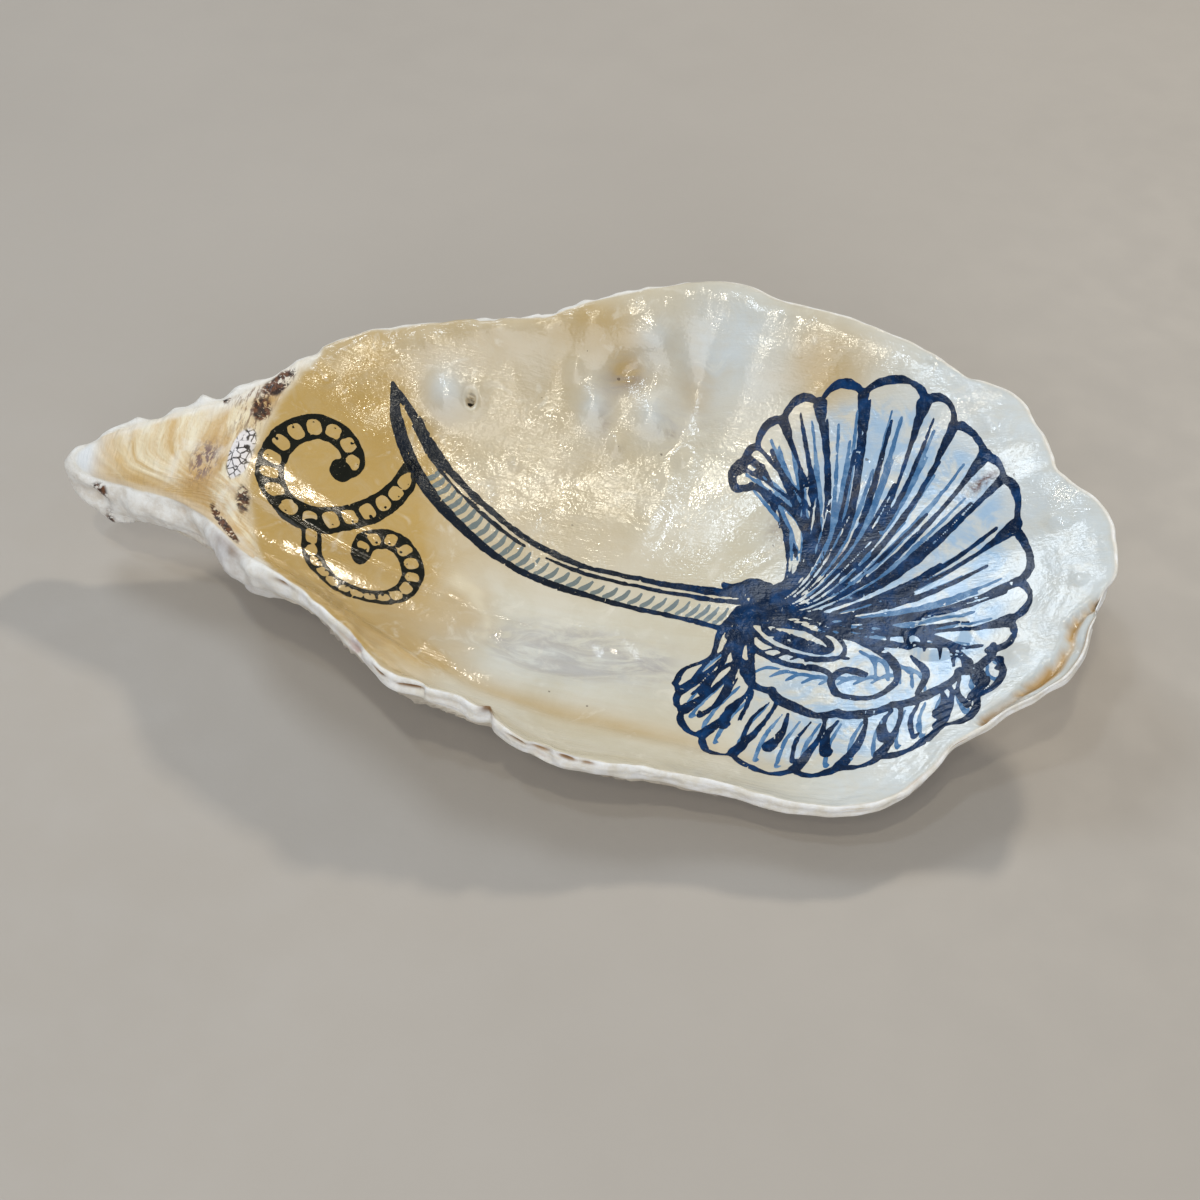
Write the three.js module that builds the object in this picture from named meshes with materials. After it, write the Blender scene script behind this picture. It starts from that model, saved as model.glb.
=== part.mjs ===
// The cupped (left) valve of an oyster, lying cup side up as a small dish.
// It grew as one piece: a thin-walled bowl with a wavy margin, and a solid beak at the hinge end.
// Millimetres. +X runs from the beak to the far lip, +Y to the high side of the bowl, +Z up.
// The origin is under the middle of the shell, on the surface it rests on.

import * as THREE from "three";

// Wall and bowl
const FLOOR_Z = 4.6; // lowest point of the inside
const BELLY_Z = -0.9; // how low the outside would dip if it weren't worn flat at 0
const RIM_THICKNESS = 2.8; // height of the broken edge of the wall
const THIN_LIP = 1.2; // how much thinner the edge is at the far lip
const BEAK_THICKNESS = 6; // height of the rounded edge of the beak
const EDGE_BULGE = 0.35; // how far the middle of the broken edge stands out past its corners
const BEAK_BULGE = 1.4; // the same on the beak
const INNER_CENTRE = new THREE.Vector2(6, -9); // deepest point of the inside
const OUTER_CENTRE = new THREE.Vector2(-1, 4); // middle of the worn patch under the belly
const INNER_POWER = { high: 1.75, low: 3.4 }; // a higher power is a flatter floor with a steeper wall
const OUTER_POWER = { high: 1.35, low: 3.5 };

// Hinge
const HINGE_X = -43.5; // where the bowl gives way to the beak, in the middle of the hinge line
const HINGE_Y = 4; // the hinge line's own middle
const HINGE_BEND = 0.02; // how fast the hinge line curves back towards the bowl, per millimetre
const HINGE_Z = 19.6; // height of the hinge line on the beak's axis
const HINGE_TILT = 0.22; // rise of the hinge line per millimetre of Y
const RIM_BAND = 0.035; // share of the radius that the flat top of the rim takes up where there is no beak
const RIM_DROP = 0.5; // how far the inner side of that flat lies below its outer side
const HINGE_FADE = 0.15; // the crest leaves the rim for the hinge line over this share of the radius
const BEAK_HALF_ANGLE = THREE.MathUtils.degToRad(12); // all beak inside this angle of its axis
const SHOULDER_ANGLE = THREE.MathUtils.degToRad(25); // all bowl outside this one

// Shallow folds that run up the inside of the high wall
const FOLD_HEIGHT = 0.9;
const FOLD_COUNT = 22; // folds in a full turn, of which only those on the high wall show
const FOLD_MIDDLE = THREE.MathUtils.degToRad(75);
const FOLD_SPREAD = THREE.MathUtils.degToRad(38);

// How the margin's waves die away down the wall
const ROUNDING = 6; // stations to either side that each is averaged with
const WAVE_FADE = 4; // a higher power keeps the waves closer to the margin

// Fineness of the faceted skin
const SECTORS = 116;
const BOWL_RINGS = 20;
const PLATE_RINGS = 4;
const OUTER_RINGS = 17;

// The margin, as x, y and the height of its upper edge, from the beak's tip round the low side first.
const MARGIN = [
  [-67.3, 0.6, 15.6],
  [-65.4, -1.0, 15.0],
  [-58.0, -2.9, 15.4],
  [-51.0, -5.0, 16.2],
  [-44.5, -8.2, 16.6],
  [-38.0, -13.6, 17.4],
  [-33.2, -16.8, 18.4],
  [-24.7, -22.0, 18.2],
  [-19.2, -26.0, 17.4],
  [-15.2, -29.2, 16.8],
  [-3.0, -30.6, 14.7],
  [1.0, -32.8, 13.3],
  [6.0, -33.8, 12.2],
  [16.0, -32.2, 10.3],
  [25.0, -31.6, 8.8],
  [35.0, -32.4, 8.0],
  [42.8, -30.9, 7.9],
  [48.6, -26.5, 9.5],
  [52.1, -21.9, 11.3],
  [58.0, -17.9, 14.1],
  [64.0, -13.8, 17.4],
  [66.0, -8.0, 19.7],
  [68.2, -0.8, 22.1],
  [66.0, 8.6, 23.5],
  [60.3, 12.4, 24.8],
  [58.6, 18.2, 25.7],
  [54.8, 24.3, 26.7],
  [49.8, 25.3, 27.3],
  [40.0, 30.7, 28.5],
  [27.5, 33.4, 30.0],
  [22.0, 34.0, 30.5],
  [16.0, 35.8, 31.0],
  [2.0, 32.2, 30.6],
  [-10.0, 27.8, 28.4],
  [-22.0, 25.2, 27.0],
  [-32.0, 22.4, 25.5],
  [-40.5, 17.3, 23.5],
  [-47.0, 10.2, 22.2],
  [-56.0, 6.4, 20.0],
  [-64.0, 2.9, 18.0],
];

const { lerp, smoothstep } = THREE.MathUtils;

// Share of the way from the deepest point to a margin point at which the bowl ends:
// at the hinge line on the beak's side, just inside the margin elsewhere.
function bowlShare(point) {
  const pastHinge = (rho) => {
    const x = lerp(INNER_CENTRE.x, point.x, rho);
    const y = lerp(INNER_CENTRE.y, point.y, rho);
    return x < HINGE_X + HINGE_BEND * (y - HINGE_Y) ** 2;
  };
  let [low, high] = [0, 1 - RIM_BAND];
  while (pastHinge(high) && high - low > 1e-4) {
    const middle = (low + high) / 2;
    if (pastHinge(middle)) high = middle;
    else low = middle;
  }
  return high;
}

// Equally spaced stations round the margin, each with its edge's thickness and bulge.
function marginStations() {
  const points = MARGIN.map((p) => new THREE.Vector3(...p));
  const curve = new THREE.CatmullRomCurve3(points, true, "centripetal");
  const tip = points[0];
  const beakAngle = Math.atan2(tip.y - INNER_CENTRE.y, tip.x - INNER_CENTRE.x);
  return curve.getSpacedPoints(SECTORS).slice(0, SECTORS).map((point) => {
    const angle = Math.atan2(point.y - INNER_CENTRE.y, point.x - INNER_CENTRE.x);
    const turn = Math.atan2(Math.sin(angle - beakAngle), Math.cos(angle - beakAngle));
    const beak = 1 - smoothstep(Math.abs(turn), BEAK_HALF_ANGLE, SHOULDER_ANGLE);
    const lip = smoothstep(point.x, 20, 60);
    const thickness = lerp(RIM_THICKNESS - THIN_LIP * lip, BEAK_THICKNESS, beak);
    const bulge = lerp(EDGE_BULGE, BEAK_BULGE, beak);
    return { point, angle, thickness, bulge, hinge: bowlShare(point) };
  });
}

// How the wall rises on the way out: gently on the high side (+Y), late and steeply on the low side.
function rise(station, rho, power) {
  const highSide = 0.5 + 0.5 * Math.sin(station.angle);
  return rho ** lerp(power.low, power.high, smoothstep(highSide, 0.1, 0.75));
}

// Height of the inside, at a share rho of the way from the deepest point to a station.
function innerHeight(station, rho) {
  const { point, angle, hinge } = station;
  const hingeY = lerp(INNER_CENTRE.y, point.y, hinge);
  const hingeHeight = HINGE_Z + HINGE_TILT * hingeY;
  const atBeak = smoothstep(1 - RIM_BAND - hinge, 0, HINGE_FADE);
  const crest = lerp(point.z - RIM_DROP, hingeHeight, atBeak);
  if (rho > hinge) {
    const along = (rho - hinge) / (1 - hinge);
    return lerp(crest, point.z, along ** 2);
  }
  const up = rho / hinge;
  const bowl = lerp(FLOOR_Z, crest, rise(station, up, INNER_POWER));
  const onHighWall = Math.exp(-(((angle - FOLD_MIDDLE) / FOLD_SPREAD) ** 2));
  const midWall = smoothstep(up, 0.35, 0.65) * (1 - smoothstep(up, 0.75, 1));
  return bowl + FOLD_HEIGHT * onHighWall * midWall * Math.sin(FOLD_COUNT * angle + 4 * up);
}

// Height of the outside, at a share rho of the way from the worn patch to a station.
function outerHeight(station, rho) {
  const edge = station.point.z - station.thickness;
  return Math.max(0, lerp(BELLY_Z, edge, rise(station, rho, OUTER_POWER)));
}

// Mean distance of a station and its neighbours from a centre, over the station's own distance.
function roundedReach(stations, i, centre) {
  const distance = (j) => {
    const { x, y } = stations[(j + stations.length) % stations.length].point;
    return Math.hypot(x - centre.x, y - centre.y);
  };
  let sum = 0;
  for (let j = i - ROUNDING; j <= i + ROUNDING; j += 1) sum += distance(j);
  return sum / (2 * ROUNDING + 1) / distance(i);
}

// One closed ring of the skin, with rho from 0 at a centre to 1 at the margin.
// The margin's waves fade out of the rings on the way in.
function ring(stations, centre, shareOf, height) {
  return stations.map((station, i) => {
    const rho = shareOf(station);
    const reach = rho * lerp(roundedReach(stations, i, centre), 1, rho ** WAVE_FADE);
    const x = lerp(centre.x, station.point.x, reach);
    const y = lerp(centre.y, station.point.y, reach);
    return new THREE.Vector3(x, y, height(station, rho));
  });
}

// The middle of the edge, a little outside its two corners.
function edgeRing(stations) {
  return stations.map(({ point, angle, thickness, bulge }) => new THREE.Vector3(
    point.x + bulge * Math.cos(angle),
    point.y + bulge * Math.sin(angle),
    point.z - thickness / 2,
  ));
}

// A closed skin from a stack of rings, each joined to the next, with a point at either end.
function skin(firstPole, rings, lastPole) {
  const n = rings[0].length;
  const points = [firstPole, ...rings.flat(), lastPole];
  const index = [];
  const at = (row, i) => 1 + row * n + (i % n);
  for (let i = 0; i < n; i += 1) {
    index.push(0, at(0, i), at(0, i + 1));
    index.push(points.length - 1, at(rings.length - 1, i + 1), at(rings.length - 1, i));
    for (let row = 0; row < rings.length - 1; row += 1) {
      index.push(at(row, i), at(row + 1, i), at(row + 1, i + 1));
      index.push(at(row, i), at(row + 1, i + 1), at(row, i + 1));
    }
  }
  const geometry = new THREE.BufferGeometry().setFromPoints(points);
  geometry.setIndex(index);
  geometry.computeVertexNormals();
  return geometry;
}

function shellGeometry() {
  const stations = marginStations();
  // Rings crowd towards the margin, where the wall is steepest.
  const shares = (count) => Array.from({ length: count }, (_, i) => ((i + 1) / count) ** 0.85);
  const bowl = shares(BOWL_RINGS).map((share) => (
    ring(stations, INNER_CENTRE, ({ hinge }) => share * hinge, innerHeight)
  ));
  const plate = shares(PLATE_RINGS).map((share) => (
    ring(stations, INNER_CENTRE, ({ hinge }) => lerp(hinge, 1, share), innerHeight)
  ));
  const outside = shares(OUTER_RINGS).map((share) => (
    ring(stations, OUTER_CENTRE, () => share, outerHeight)
  ));
  const deepest = new THREE.Vector3(INNER_CENTRE.x, INNER_CENTRE.y, FLOOR_Z);
  const lowest = new THREE.Vector3(OUTER_CENTRE.x, OUTER_CENTRE.y, 0);
  const geometry = skin(
    deepest,
    [...bowl, ...plate, edgeRing(stations), ...outside.reverse()],
    lowest,
  );
  geometry.computeBoundingBox();
  const middle = geometry.boundingBox.getCenter(new THREE.Vector3());
  return geometry.translate(-middle.x, -middle.y, 0);
}

const shell = new THREE.Mesh(
  shellGeometry(),
  new THREE.MeshStandardMaterial({ color: 0xece0c6, roughness: 0.3, metalness: 0 }),
);
shell.name = "oyster_shell";

const oyster = new THREE.Group();
oyster.add(shell);

export default oyster;
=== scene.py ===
import itertools
import math

import bpy
import numpy as np
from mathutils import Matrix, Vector
from mathutils.bvhtree import BVHTree


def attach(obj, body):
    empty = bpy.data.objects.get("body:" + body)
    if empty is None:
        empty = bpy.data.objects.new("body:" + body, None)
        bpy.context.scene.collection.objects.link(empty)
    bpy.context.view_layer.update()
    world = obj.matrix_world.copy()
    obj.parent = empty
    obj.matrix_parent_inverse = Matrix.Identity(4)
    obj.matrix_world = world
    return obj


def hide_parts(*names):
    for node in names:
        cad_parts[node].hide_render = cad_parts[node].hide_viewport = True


# The looks of an oyster's cupped half: its fine skin, its drawing in ink, the floor, lights and camera.
# Shapes are worked out in millimetres in the frame's axes: +X from the beak to the far lip, +Y to the
# high side, +Z up. They become metres when a mesh is made.

MM = 0.001

# Fineness of the skin
RINGS = 100  # rings of the inside, and of the outside; ring j has 8 j points
STATIONS = 8 * RINGS  # points round the margin
EDGE_ROWS = 16  # rows across the broken edge
SIGHTS = 1440  # directions in which the margin is looked for
EVEN_WALL, EVEN_RIM = 500, 40  # how many times heights are averaged round the wall, and round the rim
EVEN_DOWN = 16  # the same from the middle to the rim

# The edge, in millimetres
PROBE = 1.6  # how far in from the margin the wall's thickness is measured
BEAK_THICKNESS = (3.4, 5.4)  # the wall turns into the beak between these thicknesses
EDGE_INSET = 0.45  # how far the edge's corners lie in from its middle
BEAK_INSET = 1.0  # how much further in they lie on the beak

# Places in the frame
BOWL_CENTRE = np.array([6.0, -10.0])  # deepest point of the inside
BELLY_CENTRE = np.array([-0.9, 3.0])  # middle of the worn patch underneath
UMBO = np.array([-64.0, 1.0])  # where the shell began to grow
WORM_HOLE = (-16.4, 16.8)
HINGE_X, HINGE_Y, HINGE_BEND = -41.9, 3.0, 0.02  # the line where the bowl gives way to the beak

# The view
AIM = Vector((6.1, -7.6, 10.0))
AZIMUTH, ELEVATION, DISTANCE, FIELD_OF_VIEW = 11.0, 46.0, 222.0, 38.0


# ---------------------------------------------------------------- numbers and noise

LATTICE = np.random.default_rng(11).random((64, 64, 64))


def step(value, low, high):
    """0 below low, 1 above high, and a smooth rise between them; low may be the higher one."""
    t = np.clip((value - low) / (high - low), 0, 1)
    return t * t * (3 - 2 * t)


def noise(points, size, shift=0.0):
    """Smooth noise from -1 to 1 at points (..., 3), with lumps about as wide as size."""
    q = points / size + shift
    cell = np.floor(q).astype(int)
    part = q - cell
    part = part * part * (3 - 2 * part)
    total = 0
    for corner in itertools.product((0, 1), repeat=3):
        weight = np.prod(np.where(corner, part, 1 - part), axis=-1)
        x, y, z = np.moveaxis((cell + corner) % 64, -1, 0)
        total = total + weight * LATTICE[x, y, z]
    return total * 2 - 1


def fractal(points, size, octaves=3, shift=0.0):
    """Noise with finer and fainter noise on it."""
    return sum(noise(points, size / 2**k, shift + 7.3 * k) / 2**k for k in range(octaves))


def turned(x, y, degrees):
    """Coordinates in axes that are turned by some degrees."""
    c, s = math.cos(math.radians(degrees)), math.sin(math.radians(degrees))
    return x * c + y * s, y * c - x * s


def bell(value, width):
    """1 at 0, falling away smoothly to either side."""
    return np.exp(-((value / width) ** 2))


def hill(x, y, centre, radii, turn=0.0):
    """A round hill of height 1 at a centre, with a radius each way, turned by some degrees."""
    u, v = turned(x - centre[0], y - centre[1], turn)
    return np.exp(-((u / radii[0]) ** 2) - (v / radii[1]) ** 2)


def hills(x, y, rows):
    """The sum of some hills, each from its height, centre, radii and, where it has one, its turn."""
    return sum(height * hill(x, y, *shape) for height, *shape in rows)


def oval(x, y, centre, radii):
    """Distance from an oval's middle: 1 on the oval."""
    return np.hypot((x - centre[0]) / radii[0], (y - centre[1]) / radii[1])


def curve(points, count):
    """A smooth line of count points through the given ones."""
    p = np.array(points, float)
    spans = len(p) - 1
    p = np.vstack([2 * p[0] - p[1], p, 2 * p[-1] - p[-2]])
    t = np.linspace(0, spans, count)
    i = np.minimum(t.astype(int), spans - 1)
    u = (t - i)[:, None]
    a, b, c, d = p[i], p[i + 1], p[i + 2], p[i + 3]
    return 0.5 * (2 * b + (c - a) * u + (2 * a - 5 * b + 4 * c - d) * u**2 + (3 * b - a - 3 * c + d) * u**3)


def unit(vectors):
    return vectors / np.linalg.norm(vectors, axis=-1, keepdims=True)


def lengths_along(line):
    """How far along a line each of its points lies."""
    return np.concatenate([[0], np.cumsum(np.linalg.norm(np.diff(line, axis=0), axis=1))])


def off_span(x, y, a, b):
    """How far from a to b, from 0 to 1, the span's nearest point to each place lies, and its distance."""
    ab = b - a
    t = np.clip(((x - a[0]) * ab[0] + (y - a[1]) * ab[1]) / max(ab @ ab, 1e-9), 0, 1)
    return t, np.hypot(x - a[0] - t * ab[0], y - a[1] - t * ab[1])


def away_from(x, y, line):
    """Distance of points from a line of points."""
    return np.minimum.reduce([off_span(x, y, a, b)[1] for a, b in zip(line[:-1], line[1:])])


# ---------------------------------------------------------------- the skin, read from the frame


def tree_of(obj):
    """A search tree over an object's faces, in millimetres."""
    points = [v.co / MM for v in obj.data.vertices]
    return BVHTree.FromPolygons(points, [list(p.vertices) for p in obj.data.polygons])


def heights(tree, x, y, from_below=False):
    """Heights of the first surface met going down, or up, at each x and y."""
    start, way = (-50.0, Vector((0, 0, 1))) if from_below else (100.0, Vector((0, 0, -1)))
    flat = []
    for px, py in zip(np.ravel(x), np.ravel(y)):
        place = tree.ray_cast(Vector((px, py, start)), way)[0]
        flat.append(place.z if place is not None else math.nan)
    return np.array(flat).reshape(np.shape(x))


def margin(tree):
    """The outline, as evenly spaced x and y round it, anticlockwise from the beak."""
    outline = []
    for angle in np.linspace(-math.pi, math.pi, SIGHTS, endpoint=False):
        way = np.array([math.cos(angle), math.sin(angle)])
        near, far = 5.0, 100.0
        while far - near > 0.005:
            middle = (near + far) / 2
            x, y = BOWL_CENTRE + middle * way
            inside = tree.ray_cast(Vector((x, y, 100)), Vector((0, 0, -1)))[0] is not None
            near, far = (middle, far) if inside else (near, middle)
        outline.append(BOWL_CENTRE + near * way)
    outline = np.array(outline + outline[:1])
    along = lengths_along(outline)
    even = np.linspace(0, along[-1], STATIONS, endpoint=False)
    return np.stack([np.interp(even, along, outline[:, i]) for i in (0, 1)], axis=-1)


def soften_round(values, times):
    """Evens out values round the margin, along the last station axis."""
    for _ in range(times):
        values = (np.roll(values, 1, 1) + 2 * values + np.roll(values, -1, 1)) / 4
    return values


def soften_down(values, times, share=1.0):
    """Evens out values from row to row, and keeps the first and last row."""
    for _ in range(times):
        mean = (values[:-2] + 2 * values[1:-1] + values[2:]) / 4
        values = values.copy()
        values[1:-1] += share * (mean - values[1:-1])
    return values


def half_skin(tree, centre, corner, from_below):
    """Rows of points from a centre to the corner of the edge, on one side of the frame's shell."""
    share = np.linspace(0, 1, RINGS + 1)[:, None, None]
    plan = centre + share * (corner - centre)
    z = heights(tree, plan[..., 0], plan[..., 1], from_below)
    z[0] = np.nanmean(z[0])
    for row in range(1, RINGS + 1):
        z[row] = np.where(np.isnan(z[row]), z[row - 1], z[row])
    # The bowl's walls are evened out most; the margin and the hinge keep their shape.
    even = soften_round(z, EVEN_WALL)
    wall = step(share[..., 0], 0.96, 0.78) * step(plan[..., 0], -41, -34)
    z = soften_round(z, EVEN_RIM)
    z += wall * (even - z)
    z = soften_down(z, EVEN_DOWN)
    return np.concatenate([plan, z[..., None]], axis=-1)


def plain_skin():
    """The whole skin without its fine detail: rows from the middle of the inside to the belly."""
    tree = tree_of(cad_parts["oyster_shell"])
    outline = soften_round(margin(tree)[None], 6)[0]
    out = unit(outline - BOWL_CENTRE)
    probe = outline - PROBE * out
    thick = heights(tree, *probe.T) - heights(tree, *probe.T, from_below=True)
    beak = soften_round(step(np.nan_to_num(thick), *BEAK_THICKNESS)[None], 20)[0]
    inset = EDGE_INSET + BEAK_INSET * beak
    corner = outline - inset[:, None] * out
    inner = half_skin(tree, BOWL_CENTRE, corner, from_below=False)
    outer = half_skin(tree, BELLY_CENTRE, corner, from_below=True)
    edge = []
    for share in np.linspace(0, 1, EDGE_ROWS + 2)[1:-1]:
        row = inner[-1] * (1 - share) + outer[-1] * share
        row[:, :2] += (inset * math.sin(math.pi * share) ** 0.7)[:, None] * out
        edge.append(row)
    rows = np.concatenate([inner, np.array(edge), outer[::-1]])
    # The corners of the edge are rounded, those of the beak most.
    first, last = RINGS - 12, RINGS + EDGE_ROWS + 14
    rounding = (0.25 + 0.75 * beak)[None, :, None]
    rows[first:last] = soften_down(rows[first:last], 14, rounding)
    return rows, beak


def normals_of(rows):
    """Outward directions of a skin of rows."""
    down = np.gradient(rows, axis=0)
    round_ = (np.roll(rows, -1, 1) - np.roll(rows, 1, 1)) / 2
    normal = np.cross(down, round_)
    length = np.linalg.norm(normal, axis=-1, keepdims=True)
    normal = normal / np.maximum(length, 1e-9)
    normal[0] = (0, 0, 1)
    normal[-1] = (0, 0, -1)
    return normal


# ---------------------------------------------------------------- the shell's own detail


def growth_of(x, y, outline):
    """0 at the umbo and 1 at the outermost margin seen from there: its levels are growth lines."""
    rel = outline - UMBO
    turn = np.arctan2(rel[:, 1], rel[:, 0])
    reach = np.linalg.norm(rel, axis=1)
    bins = np.linspace(-math.pi, math.pi, 181)
    widest = np.zeros(len(bins) - 1)
    for i in range(len(widest)):
        inside = (turn >= bins[i]) & (turn < bins[i + 1])
        widest[i] = reach[inside].max() if inside.any() else 0
    for _ in range(30):
        empty = widest == 0
        widest[empty] = np.maximum(np.roll(widest, 1), np.roll(widest, -1))[empty]
    for _ in range(6):
        widest = (np.roll(widest, 1) + 2 * widest + np.roll(widest, -1)) / 4
    middle = (bins[:-1] + bins[1:]) / 2
    at = np.arctan2(y - UMBO[1], x - UMBO[0])
    return np.hypot(x - UMBO[0], y - UMBO[1]) / np.interp(at, middle, widest, period=2 * math.pi)


def past_hinge(x, y):
    """Millimetres from the hinge line towards the beak."""
    return HINGE_X + HINGE_BEND * (y - HINGE_Y) ** 2 - x


def drawn_out(points, turn, ratio):
    """Points squeezed along one direction, so that noise at them is drawn out along it."""
    x, y, z = np.moveaxis(points, -1, 0)
    along, across = turned(x, y, turn)
    return np.stack([along / ratio, across, z], -1)


# Hills of the inside, and hollows below 0: height in millimetres, centre, radii, and a turn in degrees
HIGH_WALL = [
    (0.75, (0.2, 19.2), (2.0, 2.2)),
    (0.75, (8.2, 19.6), (2.2, 2.0)),
    (0.6, (-1.0, 26.4), (2.8, 2.4)),
    (-1.1, (3.8, 23.2), (3.6, 1.7), 32),
    (-0.9, (13.6, 24.0), (2.8, 3.2)),
    (-0.6, (-5.8, 21.5), (3.2, 3.4)),
    (0.7, (20.0, 25.5), (4.4, 3.6)),
    (0.6, (7.2, 26.8), (2.4, 2.0)),
    (0.5, (-14.0, 24.5), (5.5, 2.0)),
    (-0.5, (29.5, 24.4), (4.0, 3.4)),
]
# A worm's hole with a swollen lip
WORM_HILLS = [
    (0.8, (-19.8, 16.8), (2.0, 1.8)),
    (0.5, (-16.4, 17.0), (1.6, 1.5)),
    (-3.0, (-16.4, 16.9), (0.5, 0.65)),
]
# The ligament's scar, the ridge along the hinge line and the dip at its far end
BEAK_HILLS = [
    (-0.5, (-47.5, -1.0), (2.2, 4.0)),
    (0.35, (-43.4, 1.0), (1.3, 4.5)),
    (-0.5, (-42.0, 10.0), (1.5, 4.0)),
]
BLOBS = [  # small lumps of shell laid over grit: place, radius, height
    ((3.9, 15.6), 0.9, 0.5), ((12.8, 15.6), 0.9, 0.45), ((-3.1, 22.0), 1.1, 0.5), ((57.6, -12.0), 1.0, 0.6),
    ((10.2, 12.6), 0.5, 0.3), ((-9.0, 11.0), 0.5, 0.2), ((52.0, 19.2), 0.8, 0.4), ((61.0, 6.0), 0.8, 0.35),
    ((-26.5, -13.6), 0.5, 0.25), ((33.0, -22.0), 0.5, 0.2), ((44.0, 27.0), 0.7, 0.3),
    ((-14.5, -17.5), 0.6, 0.25), ((64.0, -3.0), 0.6, 0.3), ((-23.5, 21.5), 0.6, 0.3),
    ((24.0, 31.0), 0.7, 0.3), ((-31.0, -9.5), 0.4, 0.2),
]
CREASE = [(-27, -13), (-19.5, -18.3), (-4, -22), (14, -24), (34, -26)]  # between the floor and the low wall


def crease_gap(x, y):
    """Distance from the crease at the foot of the low wall."""
    return away_from(x, y, curve(CREASE, 16))


def inside_relief(p, rim_gap):
    """How far the inside stands out from the plain skin."""
    x, y = p[..., 0], p[..., 1]
    relief = 0.16 * fractal(p, 9.0) + hills(x, y, HIGH_WALL + WORM_HILLS)
    relief += 0.25 * noise(drawn_out(p, 20, 1.6), 4.0, 2.0) * hill(x, y, (6.0, 22.0), (14.0, 7.0))
    relief += hills(x, y, [(height, place, (radius, radius)) for place, radius, height in BLOBS])
    # A flat blister near the lip
    blister = oval(x, y, (48.6, -8.0), (3.4, 3.0))
    relief += 0.35 * (1 - step(blister, 0.8, 1.15)) - 0.12 * bell(blister - 1.1, 0.12)
    # The muscle scar: a shallow dip with a raised whorl
    scar = oval(x, y, (2.5, -12.0), (11.0, 5.5))
    relief -= 0.25 * (1 - step(scar, 0.75, 1.05))
    relief += 0.07 * np.sin(16 * scar) * (1 - step(scar, 0.9, 1.2))
    relief += 0.3 * hill(x, y, (7.6, -11.0), (1.0, 1.3))
    relief -= 0.35 * bell(crease_gap(x, y), 1.3)
    # Fine growth lines along the far lip
    lines = np.sin(2 * math.pi * rim_gap / 1.3 + 2 * noise(p, 6.0)) * step(rim_gap, 10, 3)
    relief += 0.05 * lines * step(x, 20, 45)
    return relief + lamella_relief(p, rim_gap)[0]


def lamella(x, y):
    """How far in from the margin the lip's own edge lies, where a second layer peeks out past it."""
    turn = np.degrees(np.arctan2(y - BOWL_CENTRE[1], x - BOWL_CENTRE[0]))
    reach = np.hypot(x - BOWL_CENTRE[0], y - BOWL_CENTRE[1])
    bay = step(turn, -15.5, -8.0) * step(turn, 6.5, 0.0) * step(reach, 30, 40)
    return 3.2 * bay * (0.85 + 0.15 * np.sin(turn * 0.9))


def lamella_relief(p, rim_gap):
    """The drop past the lip's own edge, and the second layer's edge outside it."""
    plain = lamella(p[..., 0], p[..., 1])
    edge = plain + 0.3 * noise(p, 2.0) * step(plain, 0.0, 0.5)
    shown = step(edge, 0.4, 1.6)
    drop = step(rim_gap, edge + 0.15, edge - 0.45) * shown
    second = step(rim_gap, 1.9, 1.1) * step(edge, 1.2, 2.4)
    return (second - 1.8) * drop, step(drop, 0.2, 0.8) * (1 - second)


def arch_of(x, seam_gap):
    """Millimetres of growth on the beak's top: from the tip along the hinge, or in from the near seam."""
    along, across = x + 68.0, 3.2 * seam_gap
    return -3.0 * np.log(np.exp(-along / 3.0) + np.exp(-(across + 2.0) / 3.0))


def beak_relief(p, arch):
    """The top of the beak: arched growth ridges, the ligament's scar and crumbs of the ligament."""
    x, y = p[..., 0], p[..., 1]
    out = past_hinge(x, y)
    bent = arch + 0.8 * noise(p, 6.0) + 0.3 * noise(p, 1.8)
    relief = 0.07 * np.sin(bent * 2 * math.pi / 2.1) + 0.05 * np.sin(bent * 2 * math.pi / 0.9)
    relief += 0.35 * noise(p, 8.0) * step(out, 2, 8) + hills(x, y, BEAK_HILLS)
    relief += 0.25 * noise(p, 1.2) * step(out, 6.0, 2.0)
    return relief * step(out, -1.0, 1.0)


def outside_relief(p, growth, beak_side):
    """Shingles of growth, each with its free edge towards the margin, ribs and chalky lumps."""
    wander = growth + 0.016 * noise(p, 9.0) + 0.007 * noise(p, 3.0, 5.0)
    relief = np.zeros(wander.shape)
    for start, edge, height in SHINGLES:
        share = np.clip((wander - start) / (edge - start), 0, 1)
        here = (wander >= start) & (wander < edge)
        patchy = 0.55 + 0.45 * noise(p, 16.0, 3.1 * edge)
        relief += np.where(here, height * patchy * share**1.6, 0)
    turn = np.arctan2(p[..., 1] - UMBO[1], p[..., 0] - UMBO[0])
    ribs = np.sin(turn * 46 + 2.5 * noise(p, 20.0))
    relief += 0.16 * ribs * step(growth, 0.3, 0.7)
    relief += 0.30 * fractal(p, 5.0) + 0.08 * noise(p, 0.9)
    return relief * (1 - beak_side) + lumps(p) * beak_side


SHINGLES = [  # start, free edge, height in millimetres; the first two are shares of the growth
    (0.0, 0.10, 0.3), (0.10, 0.17, 0.4), (0.17, 0.23, 0.35), (0.23, 0.31, 0.6), (0.31, 0.37, 0.45),
    (0.37, 0.44, 0.7), (0.44, 0.52, 0.55), (0.52, 0.58, 0.9), (0.58, 0.66, 0.6), (0.66, 0.71, 0.8),
    (0.71, 0.78, 1.0), (0.78, 0.83, 0.7), (0.83, 0.885, 0.9), (0.885, 0.925, 0.7), (0.925, 0.965, 0.6),
]


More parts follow.
